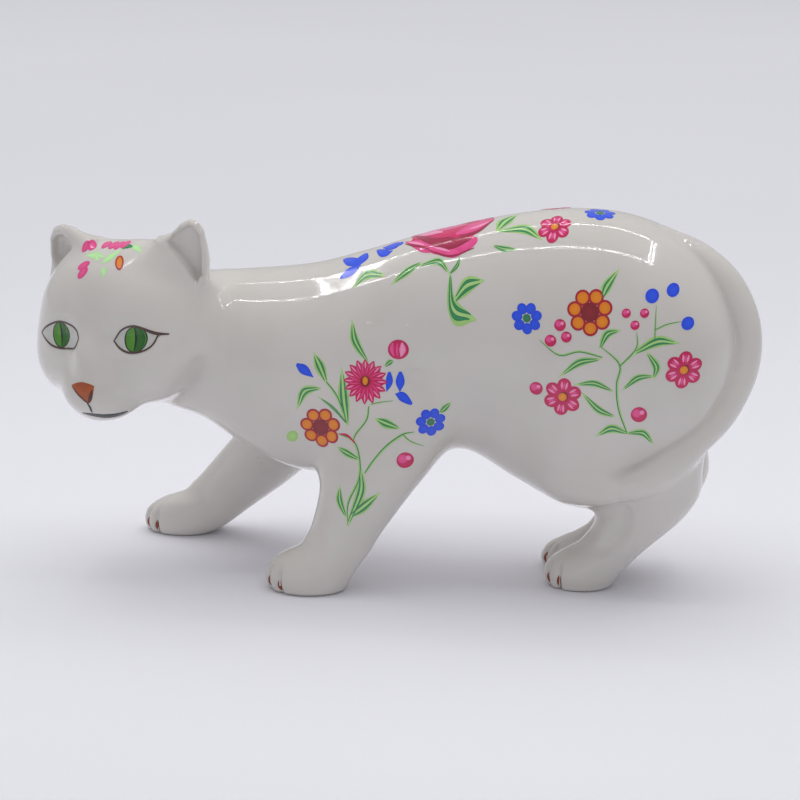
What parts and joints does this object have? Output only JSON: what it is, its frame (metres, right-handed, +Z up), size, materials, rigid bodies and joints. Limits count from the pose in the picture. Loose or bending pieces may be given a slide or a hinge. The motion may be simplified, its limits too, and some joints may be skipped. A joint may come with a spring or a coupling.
{
  "type": "porcelain cat figurine",
  "caption": "Glazed white porcelain figurine of a prowling cat with turned head and enamel flower sprays, standing on flat paw soles.",
  "frame": {"origin": "centre of the figure's bounding box at the level of the paw soles", "axes": "-X the way the cat walks (head end), +X the tail, -Y the cat's left side towards which the head turns, +Z up"},
  "size_m": [0.1684, 0.0575, 0.0886],
  "materials": {
    "porcelain": "gloss",
    "flower_pink": "gloss",
    "flower_orange": "gloss",
    "flower_blue": "gloss",
    "leaf_green": "gloss",
    "iris_green": "gloss",
    "nose_brown": "gloss",
    "claw_brown": "gloss",
    "ink_black": "gloss"
  },
  "bodies": {
    "root": {"body": "porcelain", "head": "porcelain", "left_ear": "porcelain", "right_ear": "porcelain", "front_left_leg": "porcelain", "front_right_leg": "porcelain", "hind_left_leg": "porcelain", "hind_right_leg": "porcelain", "tail": "porcelain", "left_eye": "iris_green", "right_eye": "iris_green", "nose": "nose_brown", "mouth": "ink_black", "front_left_claws": "claw_brown", "front_right_claws": "claw_brown", "hind_left_claws": "claw_brown", "hind_right_claws": "claw_brown", "left_shoulder_leaves": "leaf_green", "left_shoulder_pink_flowers": "flower_pink", "left_shoulder_orange_flower": "flower_orange", "left_shoulder_blue_flowers": "flower_blue", "left_hip_leaves": "leaf_green", "left_hip_pink_flowers": "flower_pink", "left_hip_orange_flower": "flower_orange", "left_hip_blue_flowers": "flower_blue", "right_shoulder_leaves": "leaf_green", "right_shoulder_pink_flowers": "flower_pink", "right_shoulder_orange_flower": "flower_orange", "right_shoulder_blue_flowers": "flower_blue", "right_hip_leaves": "leaf_green", "right_hip_pink_flowers": "flower_pink", "right_hip_orange_flower": "flower_orange", "right_hip_blue_flowers": "flower_blue", "back_leaves": "leaf_green", "back_rose": "flower_pink", "back_blue_flowers": "flower_blue", "forehead_leaves": "leaf_green", "forehead_petals": "flower_pink", "forehead_bud": "flower_orange"}
  },
  "joints": []
}
